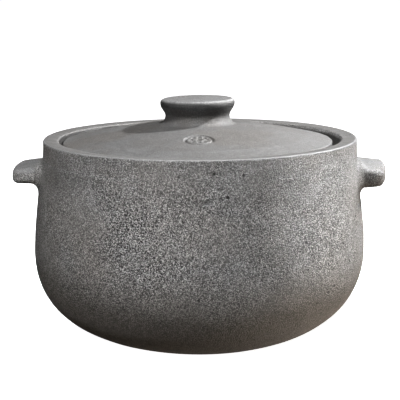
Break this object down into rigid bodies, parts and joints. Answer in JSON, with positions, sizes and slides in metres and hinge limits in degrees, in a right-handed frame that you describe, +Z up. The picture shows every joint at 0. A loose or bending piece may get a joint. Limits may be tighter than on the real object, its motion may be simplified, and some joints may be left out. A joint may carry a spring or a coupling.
{
  "type": "clay pot",
  "caption": "Round-bellied unglazed clay casserole pot with solid ear handles and a recessed lid with a mushroom knob.",
  "frame": {"origin": "middle of the foot, on the surface that the pot stands on", "axes": "+Z up, +X through the middle of one ear handle, -Y towards the viewer of the picture"},
  "size_m": [0.266, 0.234, 0.168],
  "materials": {
    "clay_body": "unglazed, sandy dark grey clay with a coarse matt grain",
    "clay_lid": "unglazed grey clay, wiped smoother than the vessel, with faint brown patches"
  },
  "bodies": {
    "root": {"pot": "clay_body", "lid": "clay_lid"}
  },
  "joints": []
}
